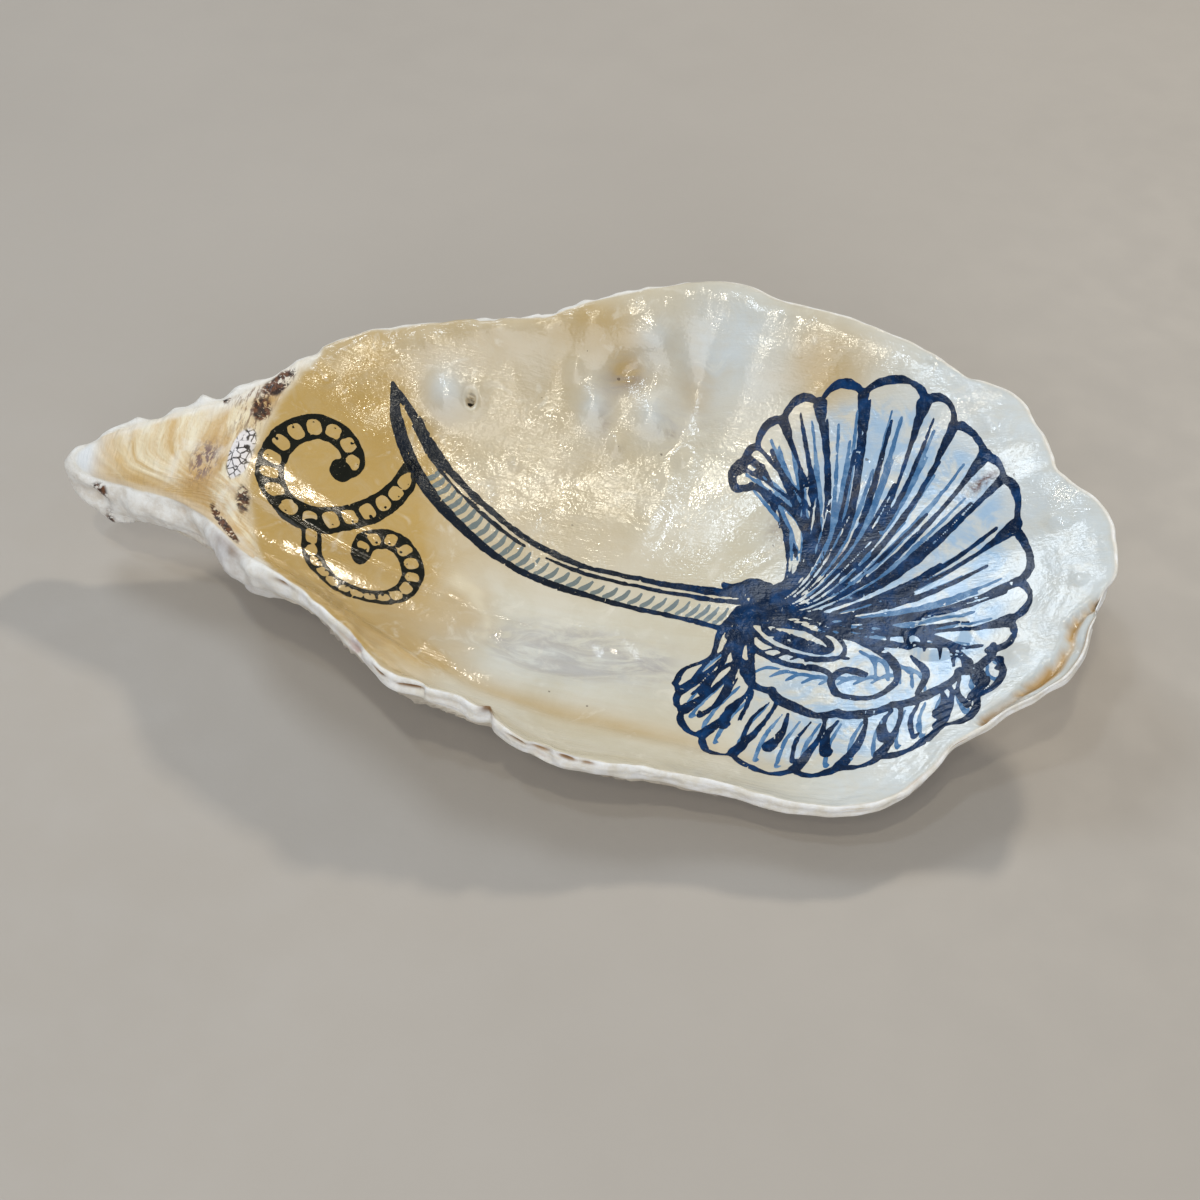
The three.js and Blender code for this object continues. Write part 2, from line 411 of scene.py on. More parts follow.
def lumps(p):
    """Chalky folds and lumps along the beak's sides."""
    folded = noise(drawn_out(p, -34, 3.0), 3.4, 1.5)
    creased = 1 - 2.4 * np.abs(noise(drawn_out(p, -38, 2.4), 3.8, 8.0))
    return 1.5 * folded + creased + 0.5 * noise(p, 2.1) + 0.16 * noise(p, 0.9)


SLITS = [  # gaps in the edge: place in x and y, half-length, depth, how far down the edge
    ((-31.0, -19.8), 1.2, 1.1, 0.25),
    ((-16.2, -30.0), 1.0, 1.0, 0.3),
    ((-12.6, -31.2), 1.3, 0.9, 0.45),
    ((2.2, -33.6), 1.6, 0.9, 0.3),
    ((8.0, -34.2), 3.0, 0.5, 0.2),
    ((-40.0, -13.0), 2.6, 0.8, 0.15),
]
NOTCH = (-2.6, -31.6)


def slit_at(x, y, share):
    """Depth of the slits in the broken edge."""
    depth = np.zeros(np.shape(x))
    for place, half, deep, level in SLITS:
        depth += deep * hill(x, y, place, (half, half)) * bell(share - level, 0.08)
    return depth * (0.75 + 0.5 * np.sin(2.1 * x + 1.3 * y))


def edge_relief(p, share, beak):
    """The broken edge: a rounded white band with a few gaps between its layers, and lumps on the beak."""
    band = 0.15 * fractal(p, 4.0) + 0.08 * np.sin(share * 2 * math.pi * 1.5 + 2.5 * noise(p, 9.0))
    level = 0.30 + 0.12 * noise(p, 12.0)
    gap = bell(share - level, 0.07) * step(noise(p, 4.0, 2.0), 0.25, 0.5)
    rim = band - 0.40 * gap - slit_at(p[..., 0], p[..., 1], share)
    return rim * (1 - beak) + lumps(p) * beak * np.sin(math.pi * share) ** 0.4


def ragged_margin(points, plain, row, beak):
    """Makes the margin uneven, up and down as well as in and out."""
    x, y = plain[..., 0], plain[..., 1]
    near = bell(row - RINGS - EDGE_ROWS / 2, 13.0) * (1 - 0.7 * beak)
    chips = step(noise(plain, 4.0, 6.0), 0.40, 0.62)
    lift = 0.35 * noise(plain, 8.0, 1.0) + 0.22 * noise(plain, 2.4, 2.0) - 0.5 * chips
    points[..., 2] += near * lift
    out = unit(plain[RINGS + EDGE_ROWS // 2, :, :2] - BOWL_CENTRE)
    shift = 0.40 * noise(plain, 6.5, 3.0) + 0.36 * noise(plain, 2.4, 4.0) - 0.7 * chips
    shift -= 1.2 * hill(x, y, NOTCH, (0.6, 1.6)) - 0.5 * hill(x, y, (-4.6, -31.2), (1.2, 1.6))
    points[..., :2] += (near * shift)[..., None] * out


def shell_rows():
    """Rows of the finished skin, and what each point's material needs to know."""
    rows, beak = plain_skin()
    count = len(rows)
    row = np.arange(count)[:, None] * np.ones(STATIONS)
    share = np.clip((row - RINGS) / (EDGE_ROWS + 1), 0, 1)
    on_edge = np.where((row > RINGS) & (row < RINGS + EDGE_ROWS + 1), 1.0, 0.0)
    inside = 1 - step(row, RINGS - 0.5, RINGS + 1.5)
    outside = step(row, RINGS + EDGE_ROWS - 0.5, RINGS + EDGE_ROWS + 2.5)
    beak = beak[None] * np.ones((count, 1))
    x, y = rows[..., 0], rows[..., 1]
    rim_gap = np.linalg.norm(rows[..., :2] - rows[RINGS, :, :2], axis=-1)
    outline = rows[RINGS + EDGE_ROWS // 2, :, :2]
    near_side = outline[(outline[:, 0] < -30) & (outline[:, 1] < 1.0)]
    seam_gap = np.full(x.shape, 30.0)
    on_top = x < -36
    seam_gap[on_top] = away_from(x[on_top], y[on_top], near_side[::2])
    arch = arch_of(x, seam_gap)
    growth = growth_of(x, y, outline)
    past = step(past_hinge(x, y), -0.8, 0.8)
    beak_side = np.clip(beak + step(x, -30, -40), 0, 1) * step(growth, 0.25, 0.45) * (1 - inside)
    beak_side = np.maximum(beak_side * step(x, -28, -38), beak * on_edge)
    tip = hill(x, y, (-67.0, -0.5), (3.4, 3.6))
    relief = inside * (inside_relief(rows, rim_gap) * (1 - past) + beak_relief(rows, arch))
    relief += inside * 0.12 * fractal(rows, 2.6) * step(rim_gap, 3.0, 0.5) * (1 - past)
    relief += outside * outside_relief(rows, growth, beak_side)
    relief += on_edge * edge_relief(rows, share, beak)
    relief = relief * (1 - 0.7 * tip)
    worn = step(rows[..., 2], 0.0, 0.8)
    relief *= np.where(outside > 0, worn, 1)
    normal = soften_round(normals_of(rows), 4)
    points = rows + (relief + tip * (1 - 0.6 * inside))[..., None] * normal
    ragged_margin(points, rows, row, beak)
    points[..., 2] = np.maximum(points[..., 2], 0.0)
    notch = hill(x, y, NOTCH, (0.8, 1.2)) * step(share, 0.5, 0.1) * step(rim_gap, 0.8, 0.3)
    facts = {
        "inside": inside,
        "edge": on_edge,
        "beak": past * inside,
        "beak_side": beak_side * (1 - inside),
        "growth": growth,
        "relief": relief,
        "arch": arch,
        "tip": tip,
        "rim_gap": rim_gap,
        "edge_share": share,
        "slit": np.clip(1.6 * slit_at(x, y, share) * on_edge + 1.3 * notch, 0, 1),
        "ochre": inside * lamella_relief(rows, rim_gap)[1],
    }
    return points, facts


def ring_numbers():
    """For a square grid laid out as rings: each grid point's ring, and its place round that ring."""
    span = np.arange(-RINGS, RINGS + 1)
    a, b = np.meshgrid(span, span, indexing="ij")
    ring = np.maximum(abs(a), abs(b))
    place = np.where(a == ring, b + ring, 0)
    place = np.where((b == ring) & (a < ring), 2 * ring + (ring - a), place)
    place = np.where((a == -ring) & (b < ring), 4 * ring + (ring - b), place)
    place = np.where((b == -ring) & (a > -ring) & (a < ring), 6 * ring + (ring + a), place)
    return ring, place % np.maximum(8 * ring, 1)


def skin_mesh(points, facts):
    """One closed mesh: an even grid inside and outside, joined by the rows of the edge."""
    ring, place = ring_numbers()
    data = np.concatenate([points] + [f[..., None] for f in facts.values()], axis=-1)
    spot = place / np.maximum(8 * ring, 1) * STATIONS
    low = np.floor(spot).astype(int) % STATIONS
    part = (spot - np.floor(spot))[..., None]

    def grid(row_of_ring):
        rows = row_of_ring(ring)
        return data[rows, low] * (1 - part) + data[rows, (low + 1) % STATIONS] * part

    last = len(points) - 1
    inner, outer = grid(lambda r: r), grid(lambda r: last - r)
    inner[RINGS, RINGS] = data[0].mean(0)
    outer[RINGS, RINGS] = data[last].mean(0)
    side = 2 * RINGS + 1
    vertices = [inner.reshape(-1, data.shape[-1]), outer.reshape(-1, data.shape[-1])]
    vertices.append(data[RINGS + 1 : RINGS + 1 + EDGE_ROWS].reshape(-1, data.shape[-1]))
    vertices = np.concatenate(vertices)
    number = np.arange(side * side).reshape(side, side)
    quads = np.stack([number[:-1, :-1], number[1:, :-1], number[1:, 1:], number[:-1, 1:]], -1)
    quads = quads.reshape(-1, 4)
    rim = np.zeros(STATIONS, int)
    on_rim = ring == RINGS
    rim[place[on_rim]] = number[on_rim]
    loops = [rim] + [2 * side * side + STATIONS * r + np.arange(STATIONS) for r in range(EDGE_ROWS)]
    loops.append(rim + side * side)
    faces = [quads, quads[:, ::-1] + side * side]
    for upper, lower in zip(loops[:-1], loops[1:]):
        faces.append(np.stack([upper, lower, np.roll(lower, -1), np.roll(upper, -1)], -1))
    return vertices, np.concatenate(faces)


def new_object(name, points, faces):
    """A mesh object from points in millimetres and faces."""
    mesh = bpy.data.meshes.new(name)
    mesh.from_pydata((np.asarray(points) * MM).tolist(), [], [list(map(int, f)) for f in faces])
    mesh.polygons.foreach_set("use_smooth", [True] * len(mesh.polygons))
    mesh.update()
    obj = bpy.data.objects.new(name, mesh)
    bpy.context.collection.objects.link(obj)
    return obj


# ---------------------------------------------------------------- marks on the inside, as strengths 0 to 1


# Strength, centre, radii, and a turn in degrees
SPOTS = {
    "tan_and_shade": [
        (0.5, (0.0, 26.5), (8.0, 2.6)),
        # The next two rows are painted shade in the hollows beside the high wall's folds.
        (0.35, (14.0, 24.0), (2.6, 3.4)),
        (0.25, (4.5, 23.5), (3.4, 3.0)),
    ],
    "cool": [
        (1.0, (17, 28), (7, 6)),
        # The next four rows are partly the milky white of the lumps and partly painted highlight on their
        # tops: the worm's swollen lip and the high wall's folds.
        (0.8, (-19.8, 16.8), (2.8, 2.6)),
        (0.7, (0.2, 18.8), (2.2, 2.6)),
        (0.7, (8.2, 19.2), (2.6, 2.4)),
        (0.6, (6.6, 26.6), (2.6, 2.4)),
        (0.6, (2, -14), (18, 6)),
    ],
    "grey": [
        (0.9, (14.0, -13.0), (2.8, 3.2)),
        # The next four rows are painted shade in the hollow between the high wall's folds and beside the
        # folds.
        (0.85, (3.4, 22.6), (3.4, 1.5), 32),
        (0.35, (13.0, 19.5), (4.2, 2.4)),
        (0.45, (1.8, 17.4), (1.2, 2.2)),
        (0.45, (10.4, 18.0), (1.6, 1.8)),
    ],
    "brown_stain_and_shade": [
        (1.1, (51.6, 11.4), (2.6, 0.8), 38),
        (1.0, (35.2, 4.4), (1.9, 1.2)),
        (0.4, (26.9, 7.6), (1.5, 2.2)),
        # The next three rows are painted shade beside the high wall's folds and in the hollow between them.
        (0.35, (1.9, 17.2), (0.6, 0.5)),
        (0.35, (10.8, 17.9), (0.8, 0.5)),
        (0.3, (5.0, 22.6), (1.6, 0.9)),
        (0.8, (-2.6, -31.0), (0.7, 0.3)),
    ],
    "ligament": [
        (1.1, (-41.6, 12.6), (2.4, 1.1), 50),
        (1.0, (-42.6, 8.0), (1.3, 1.5)),
        (1.0, (-40.6, -5.6), (1.1, 1.7)),
        (0.9, (-47.6, 8.6), (0.5, 0.9)),
        (0.9, (-41.4, 2.2), (0.45, 2.2)),
    ],
}


def marks_at(p, facts):
    """Stains, tints, painted shade and painted highlights by place, from 0 to 1."""
    x, y = p[:, 0], p[:, 1]
    inside, top = facts["inside"], facts["beak"]
    bowl = inside * (1 - top)
    wide, small = fractal(p, 14.0, shift=3.0), fractal(p, 5.0, shift=9.0)
    tan_and_shade, cool, grey, brown_stain_and_shade, ligament = (hills(x, y, rows) for rows in SPOTS.values())
    # The tan end of the bowl reaches further on the floor than up the high wall.
    floor_front = step(y, 2, -6)
    tan = 1 - step(x + 4 * wide + 2 * small, -30 + 11 * floor_front, -8 + floor_front)
    faint_tan = 0.45 * (1 - step(x + 8 * wide, -14, 26)) * step(y + 4 * wide, -8, 2)
    tan = tan * step(y + 3 * wide, 26, 8) + faint_tan
    border = bell(tan - 0.5, 0.10) * step(y, -3.0, -5.0) * step(y, -15.0, -12.0)
    tan_and_shade += tan + 0.8 * hill(x + 2 * small, y, (30.5, 26.5), (6.5, 4.6))
    # A tan line along the crease at the foot of the low wall: painted shade in the crease.
    tan_and_shade += 0.6 * bell(crease_gap(x, y), 2.0) * (1 - step(x, 10, 36))
    # Tan wherever the inside dips below its plain skin: painted shade in the hollows.
    tan_and_shade += 0.35 * step(facts["relief"], -0.25, -0.9)
    cool += step(x + 6 * wide, 22, 50) * (1 - hill(x, y, (31.0, 26.0), (6.0, 5.0)))
    grey += 0.75 * (1 - step(oval(x, y, (3.0, -12.5), (11.0, 5.0)) + 0.12 * wide, 0.6, 1.15))
    seam = hill(x, y, (-42.2, -9.8), (3.4, 0.4), -46) * (1 - facts["edge_share"])
    dark = np.clip(ligament, 0, 1) * top + 1.5 * seam
    dark += 1.1 * hill(x, y, (-62.6, -4.6), (1.5, 1.1)) * (1 - top)
    marks = {  # strength, and where it shows
        "tan_and_shade": (tan_and_shade, bowl),
        "border": (border, bowl),
        "cool": (cool, bowl),
        "grey": (grey, bowl),
        "brown_stain_and_shade": (brown_stain_and_shade, bowl),
        "wash": (wash_strength(x, y), bowl),
        "dark": (dark, 1),
        "streaks": (1.3 * hill(x, y, (-43.6, 9.0), (2.8, 6.0)), top),
        "chalk": (2.2 * hill(x, y, (-43.0, 0.6), (1.7, 4.4)) - 0.5, top),
        "arcs": (1.8 * hill(x, y, (-47.8, -1.0), (1.9, 3.0)) - 0.3, top),
        "blush": (hill(x, y, (-19.5, -26.6), (1.6, 1.6)), 1),
        "violet": (hill(x, y, (-40.5, -12.5), (4.5, 3.5)), 1 - inside),
    }
    return {name: np.clip(strength, 0, 1) * shown for name, (strength, shown) in marks.items()}


# ---------------------------------------------------------------- the drawing


class Ink:
    """A drawing as a field over x and y: below 0 is inked."""

    STEP = 0.2  # millimetres between the grid's points
    LOW = np.array([-46.0, -32.0])
    HIGH = np.array([64.0, 30.0])
    BARE = 9.0  # the field's value far from any ink

    def __init__(self):
        nx, ny = np.ceil((self.HIGH - self.LOW) / self.STEP).astype(int) + 1
        self.x = self.LOW[0] + self.STEP * np.arange(nx)[None, :] + np.zeros((ny, 1))
        self.y = self.LOW[1] + self.STEP * np.arange(ny)[:, None] + np.zeros((1, nx))
        self.field = np.full(self.x.shape, self.BARE)

    def window(self, low, high):
        """The part of the grid between two corners."""
        a = np.maximum(((low - self.LOW) / self.STEP).astype(int), 0)
        b = np.minimum(((high - self.LOW) / self.STEP).astype(int) + 2, self.x.shape[::-1])
        return slice(a[1], b[1]), slice(a[0], b[0])

    @staticmethod
    def spread(widths, count):
        """Widths at count places along a line, from a few evenly spaced ones."""
        return np.interp(np.linspace(0, 1, count), np.linspace(0, 1, len(widths)), widths)

    def stroke(self, line, widths):
        """A brush stroke along a line of points, with its width at evenly spaced places along it."""
        line = np.asarray(line)
        wide = self.spread(widths, len(line))
        for a, b, wa, wb in zip(line[:-1], line[1:], wide[:-1], wide[1:]):
            reach = max(wa, wb) + 3 * self.STEP
            part = self.window(np.minimum(a, b) - reach, np.maximum(a, b) + reach)
            t, gap = off_span(self.x[part], self.y[part], a, b)
            self.field[part] = np.minimum(self.field[part], gap - (wa + (wb - wa) * t) / 2)

    def brush(self, points, count, widths):
        """A brush stroke along a smooth line of count points through the given ones."""
        self.stroke(curve(points, count), widths)

    def ticks(self, feet, bend, tip, widths, count=10):
        """Short curved strokes, one from each foot by way of a bend to a tip, both given from the foot."""
        for foot in feet:
            self.brush([foot, foot + bend, foot + tip], count, widths)

    def carve(self, line, widths):
        """A bare stroke through the ink."""
        drawn = self.field
        self.field = np.full(self.x.shape, self.BARE)
        self.stroke(line, widths)
        self.field = np.maximum(drawn, -self.field)

    def dot(self, centre, width):
        centre = np.asarray(centre, float)
        self.stroke([centre, centre + 1e-3], [width, width])

    def ladder(self, line, widths, pitch, wall):
        """A dark band with a row of round-cornered windows in it, each with a small drop inside."""
        line = np.asarray(line)
        self.stroke(line, widths)
        tangent = unit(np.gradient(line, axis=0))
        along = lengths_along(line)
        wide = self.spread(widths, len(line))
        spot = pitch * 0.6
        while spot < along[-1] - pitch * 0.4:
            centre = np.array([np.interp(spot, along, line[:, i]) for i in (0, 1)])
            way = unit(np.array([np.interp(spot, along, tangent[:, i]) for i in (0, 1)]))
            across = np.array([-way[1], way[0]])
            width = np.interp(spot, along, wide)
            half = np.array([pitch * 0.34, max(width / 2 - wall, 0.25)])
            part = self.window(centre - width, centre + width)
            x, y = self.x[part] - centre[0], self.y[part] - centre[1]
            u, v = abs(x * way[0] + y * way[1]), x * across[0] + y * across[1]
            box = ((u / half[0]) ** 3 + (abs(v) / half[1]) ** 3) ** (1 / 3) - 1
            drop = np.hypot(u, v - half[1] * 0.62) - 0.16 * width / 3
            window = np.maximum(box * half.min(), -drop)
            self.field[part] = np.maximum(self.field[part], -window)
            spot += pitch * width / max(widths)

    def ragged(self, amount, seed):
        """Roughens the edges, and drops a few specks of ink."""
        p = np.stack([self.x, self.y, np.zeros_like(self.x)], -1)
        self.field = self.field + amount * (noise(p, 0.9, seed) + 0.6 * noise(p, 0.4, seed + 3))
        bare = noise(p, 0.5, seed + 9)
        self.field = np.maximum(self.field, 0.5 * (bare - 0.86))


FLOWER_BASE = np.array([23.5, -2.6])
FAN = [
    (20.6, 14.6), (22.6, 18.4), (26.6, 21.8), (32.6, 23.6), (39.2, 23.6), (45.4, 21.4), (50.4, 17.4),
    (54.2, 12.2), (56.6, 6.2), (57.6, -0.4), (57.0, -6.6), (55.0, -11.0),
]
FRILL = [
    (55.8, -12.4), (53.4, -17.6), (48.8, -22.0), (42.6, -25.4), (36.0, -27.4), (29.4, -26.8), (23.4, -24.4),
    (19.0, -20.6), (17.4, -15.6),
]
COLLAR = [
    (22.8, -7.0), (25.6, -12.0), (31.0, -16.2), (38.0, -18.4), (45.6, -17.0), (51.4, -13.4), (55.2, -10.6),
]
STEM_TIP = (-27.0, 16.4)
STEM_LOW = [(-21.4, 7.2), (-16.4, 3.4), (-10.0, 0.0), (-3.0, -2.2), (6.0, -3.5), (15.0, -4.6)]
STEM_HIGH = [(-23.2, 13.4), (-19.0, 9.8), (-13.0, 6.2), (-6.4, 3.0), (1.0, 0.9), (10.0, 0.2), (24.0, -0.9)]
BIG_CURL = [
    (-22.6, 7.6), (-24.2, 3.4), (-27.6, -0.8), (-32.2, -4.2), (-36.0, -4.2), (-38.8, -1.4), (-39.6, 2.6),
    (-38.4, 6.4), (-35.2, 8.8), (-31.8, 8.3), (-30.0, 6.0), (-31.2, 4.0),
]
SMALL_CURL = [
    (-32.4, -5.4), (-31.2, -9.2), (-28.0, -11.8), (-24.0, -12.2), (-20.4, -10.4), (-18.9, -7.0),
    (-20.4, -3.8), (-23.2, -2.6), (-25.6, -4.2), (-25.9, -6.4),
]
SCROLL = [
    (24.0, -4.4), (27.6, -3.2), (33.0, -4.0), (38.8, -7.4), (43.2, -10.6), (44.2, -13.8), (41.4, -16.0),
    (37.6, -15.4), (36.4, -13.2), (38.0, -11.8), (40.4, -12.6),
]
FINE_VEINS = [  # in turn: how far out they reach, the point that they start at, widths
    (0.86, 0, [0.9, 0.7, 0.6, 0.95, 0.4]),
    (0.62, 9, [0.5, 0.8, 0.7, 0.4]),
    (0.93, 4, [0.8, 0.5, 1.0, 0.7, 0.4]),
    (0.72, 12, [0.45, 0.55, 0.45]),
]
OVAL_WIDTHS = np.array([1, 0.6, 1, 0.7, 1])  # round the scroll's ovals, over their greatest width
SIDE_FOLDS = [  # folds that run from the stem's foot down to the frill: line, count of points, widths
    ([(23.6, -3.4), (21.6, -6.6), (21.0, -10.4), (18.0, -12.6), (17.2, -15.2)], 30, [1.5, 0.8, 0.6, 0.9]),
    ([(24.0, -4.6), (22.9, -8.6), (22.2, -12.6), (19.6, -16.6)], 24, [1.4, 0.8, 0.5]),
    ([(24.6, -5.4), (24.4, -9.6), (23.8, -14.6), (22.0, -19.4)], 24, [1.5, 1.0, 0.9, 0.4]),
    ([(25.2, -6.4), (26.2, -10.6), (26.8, -15.4), (26.0, -20.0)], 24, [1.2, 0.8, 0.8, 0.4]),
]


def point_at(line, share):
    return line[int(share * (len(line) - 1))]


def row_of(count, start, pitch, bow=0.0):
    """Evenly spaced places in a row that bows upwards."""
    i = np.arange(count)[:, None]
    return np.array(start) + i * np.array(pitch) + i**2 * np.array([0, bow])


def uneven(thin, waves, count):
    """Widths of a brush stroke that swells and thins."""
    return thin + 0.5 * np.abs(np.sin(np.linspace(0, waves, count)))


def bezier(a, b, c, d, count=30):
    """A smooth line from a to d, pulled towards b and c."""
    a, b, c, d = (np.asarray(p, float) for p in (a, b, c, d))
    t = np.linspace(0, 1, count)[:, None]
    return a * (1 - t) ** 3 + 3 * b * t * (1 - t) ** 2 + 3 * c * t**2 * (1 - t) + d * t**3


def ruffled(points, lobes, depth, count=360):
    """A line pushed out to its left into rounded lobes of uneven width, and the places of its dips."""
    line = curve(points, count)
    way = unit(np.gradient(line, axis=0))
    left = np.stack([-way[:, 1], way[:, 0]], -1)
    t = np.linspace(0, 1, count)
    phase = lobes * t + 0.16 * np.sin(2 * math.pi * 2.3 * t) + 0.10 * np.sin(2 * math.pi * 5.1 * t + 1)
    phase -= phase[0]
    swell = np.abs(np.sin(math.pi * phase)) ** 0.6
    size = 0.8 + 0.35 * np.sin(2 * math.pi * 1.7 * t + 0.6)
    dips = [int(np.argmin(abs(phase - k))) for k in range(1, int(phase[-1]) + 1)]
    return line + depth * (size * swell - 0.35)[:, None] * left, dips


def fan_vein(share, tip):
    """One vein of the flower: it leaves the base with the others and bends out to its own tip."""
    tip = np.asarray(tip, float)
    base = FLOWER_BASE + np.array([0.6 + 1.6 * share, 1.0 - 3.4 * share])
    reach = np.linalg.norm(tip - base)
    rise = math.radians(14 - 18 * share)
    pull = 0.50 - 0.10 * share + 0.50 * bell(share, 0.14)
    first = base + pull * reach * np.array([math.cos(rise), math.sin(rise)])
    out = math.radians(138 - 142 * share + 30 * bell(share, 0.12))
    last = tip - 0.42 * reach * np.array([math.cos(out), math.sin(out)])
    return bezier(base, first, last, tip, 44)


def vein_to(outline, share, reach):
    """A vein that stops short of the fan's edge."""
    return fan_vein(share, FLOWER_BASE + (point_at(outline, share) - FLOWER_BASE) * reach)


def fan_outline():
    """The fan's scalloped edge, from its folded end on, and where the dips in it lie."""
    outline, dips = ruffled(FAN[::-1], lobes=12, depth=-1.7)
    return outline[::-1], [len(outline) - 1 - k for k in dips][::-1]


def frill_outline():
    """The frill's scalloped edge, where the dips in it lie, and the edge of its collar."""
    collar, _ = ruffled(COLLAR[::-1], lobes=6, depth=1.1)
    return *ruffled(FRILL, lobes=9, depth=1.7), collar


def tendrils():
    """Two curled tendrils beside the stem's tip."""
    ink = Ink()
    ink.ladder(curve(BIG_CURL, 90), [2.7, 3.4, 3.7, 3.5, 3.4, 3.2, 2.8], pitch=2.8, wall=0.66)
    ink.dot((-31.2, 4.2), 2.9)
    ink.ladder(curve(SMALL_CURL, 80), [2.5, 2.4, 2.3, 2.6, 3.1, 3.0, 2.5], pitch=2.2, wall=0.55)
    ink.dot(SMALL_CURL[-1], 2.3)
    ink.ragged(0.09, 1.0)
    return ink


def stem(ink):
    """The stem's two outlines, brushed thick and thin, with a second line inside the upper one."""
    low = curve([STEM_TIP, (-25.2, 11.8), *STEM_LOW, (23.0, -6.2)], 120)
    high = curve([STEM_TIP, *STEM_HIGH], 120)
    ink.stroke(low, [0.6, 1.8, 1.7, 1.4, 1.2, 0.8, 0.95, 0.65, 0.65, 0.8])
    ink.stroke(high, [0.6, 1.2, 1.3, 0.9, 0.7, 0.8, 0.6, 0.7, 1.3])
    inner = high * 0.76 + low * 0.24
    ink.stroke(inner[18:70], [0.4, 0.6, 0.35, 0.6, 0.4])
    ink.stroke(inner[76:], [0.35, 0.5, 0.45, 0.8])


def fan(ink):
    """The fan's edge, its veins, and slivers of bare shell between them."""
    outline, dips = fan_outline()
    count = len(outline)
    ink.stroke(outline, uneven(0.55, 40, 60))
    # The gaps between two lobes fill with ink, and the longest veins start there.
    for n, k in enumerate(dips):
        if 4 < k < count - 4:
            share = k / count
            line = fan_vein(share, outline[k])
            bold = 0.55 + 0.45 * min(1, share * 4)
            ink.stroke(line, bold * np.array([1.3, 1.1, 0.9, 0.7, 0.55, 0.8]))
            if share > 0.12:
                ink.stroke(line[-7:], [0.5, 0.9, 1.4 + 0.5 * (n % 2)])
    for i in range(3, 31):
        reach, start, widths = FINE_VEINS[i % 4]
        ink.stroke(vein_to(outline, (i + 0.5) / 31, reach)[start:], widths)
    for i in range(22):
        line = vein_to(outline, (i + 0.9) / 22.5, 0.52)
        ink.carve(line[10 + 3 * (i % 3):], [0.15, 0.38, 0.3, 0.15])
    # The folded end of the first petal
    ink.stroke(fan_vein(0.0, (22.4, 13.2)), [1.5, 1.3, 0.9, 0.6, 0.8])
    ink.brush([(22.6, 13.0), (20.4, 12.8), (19.8, 14.6), (21.4, 16.0), (23.6, 15.4)], 20, [0.9, 1.2, 0.8])
    ink.brush([(22.4, 14.6), (23.8, 14.9), (25.2, 13.6)], 12, [0.5, 0.9, 0.4])


def hook(ink, foot, tip, curl, widths):
    """A comma-shaped stroke from foot to tip, curling to its left at the end."""
    way = unit(tip - foot)
    left = np.array([-way[1], way[0]])
    mid = (foot + tip) / 2 - 0.9 * curl * left
    end = tip + 0.8 * curl * left - 0.5 * abs(curl) * way
    ink.brush([foot, mid, tip, end], 20, widths)


def frill(ink):
    """The smaller frill below the flower, with hooked folds."""
    outline, dips, collar = frill_outline()
    count = len(outline)
    ink.stroke(outline, uneven(0.5, 31, 60))
    ink.stroke(collar, uneven(0.8, 17, 40))
    for k in dips:
        if 3 < k < count - 3:
            rim, foot = outline[k], point_at(collar, k / count)
            line = bezier(rim, rim * 0.65 + foot * 0.35 + (1.3, 0.3), foot + (1.2, -0.6), foot)
            ink.stroke(line, [1.5, 0.9, 0.6, 0.5, 0.8])
    for i in range(15):
        share = (i + 0.5) / 15
        foot, rim = point_at(collar, share), point_at(outline, share)
        long_, widths = (0.62, [0.4, 0.9, 1.6, 0.6]) if i % 2 else (0.75, [0.3, 0.6, 0.7, 0.3])
        across = rim - foot
        hook(ink, foot + across * 0.12, foot + across * long_, 0.7 if i % 3 else -0.6, widths)
    for line, points, widths in SIDE_FOLDS:
        ink.brush(line, points, widths)


def scroll(ink):
    """The curled leaf at the flower's heart."""
    ink.brush(SCROLL, 60, [1.2, 0.7, 1.1, 0.6, 1.1, 0.8])
    under = [(24.2, -5.0), (25.6, -8.2), (30.2, -10.8), (35.0, -11.6), (36.6, -13.0)]
    ink.brush(under, 34, [1.3, 0.7, 0.9, 0.6])
    ring = np.linspace(0, 2 * math.pi, 60)
    for long_, short, width in ((6.6, 2.5, 0.7), (4.7, 1.35, 1.0)):
        x, y = turned(long_ * np.cos(ring), short * np.sin(ring), 22)
        ink.stroke(np.stack([31.4 + x, -6.9 + y], -1), width * OVAL_WIDTHS)
    # A fold between the scroll and the fan, with short lines off it
    fold = curve([(30.0, -3.3), (37.0, -4.3), (44.0, -6.6), (49.6, -9.4), (52.6, -12.2)], 60)
    ink.stroke(fold, [0.5, 0.9, 0.7, 1.0, 0.6])
    for i in range(9):
        ink.ticks([fold[14 + 5 * i]], (0.9, -1.0), (1.2, -2.3 - 0.1 * i), [0.5, 0.8, 0.3])
    ink.brush([(45.6, -10.4), (47.6, -13.0), (46.8, -15.8)], 16, [0.4, 1.0, 0.7])
    ink.ticks(row_of(6, (28.2, -5.9), (1.2, -0.45)), (0.5, -0.5), (1.3, -0.7), [0.5, 1.0, 0.4], 8)
    ink.ticks(row_of(5, (27.2, -9.2), (1.9, -0.7), 0.1), (1.6, 0.5), (3.4, 0.2), [0.3, 0.45, 0.3])


def stem_and_flower():
    """The stem and the flower's dark lines."""
    ink = Ink()
    stem(ink)
    fan(ink)
    # Ink gathered where the stem meets the flower
    ink.brush([(21.0, 0.4), (22.6, -0.4), (24.6, 0.2), (26.6, 0.0)], 12, [0.7, 2.2, 2.6, 1.6])
    ink.brush([(24.0, -0.8), (25.6, -1.6), (27.6, -2.2)], 12, [2.2, 2.8, 1.8])
    frill(ink)
    scroll(ink)
    ink.ragged(0.08, 2.0)
    return ink


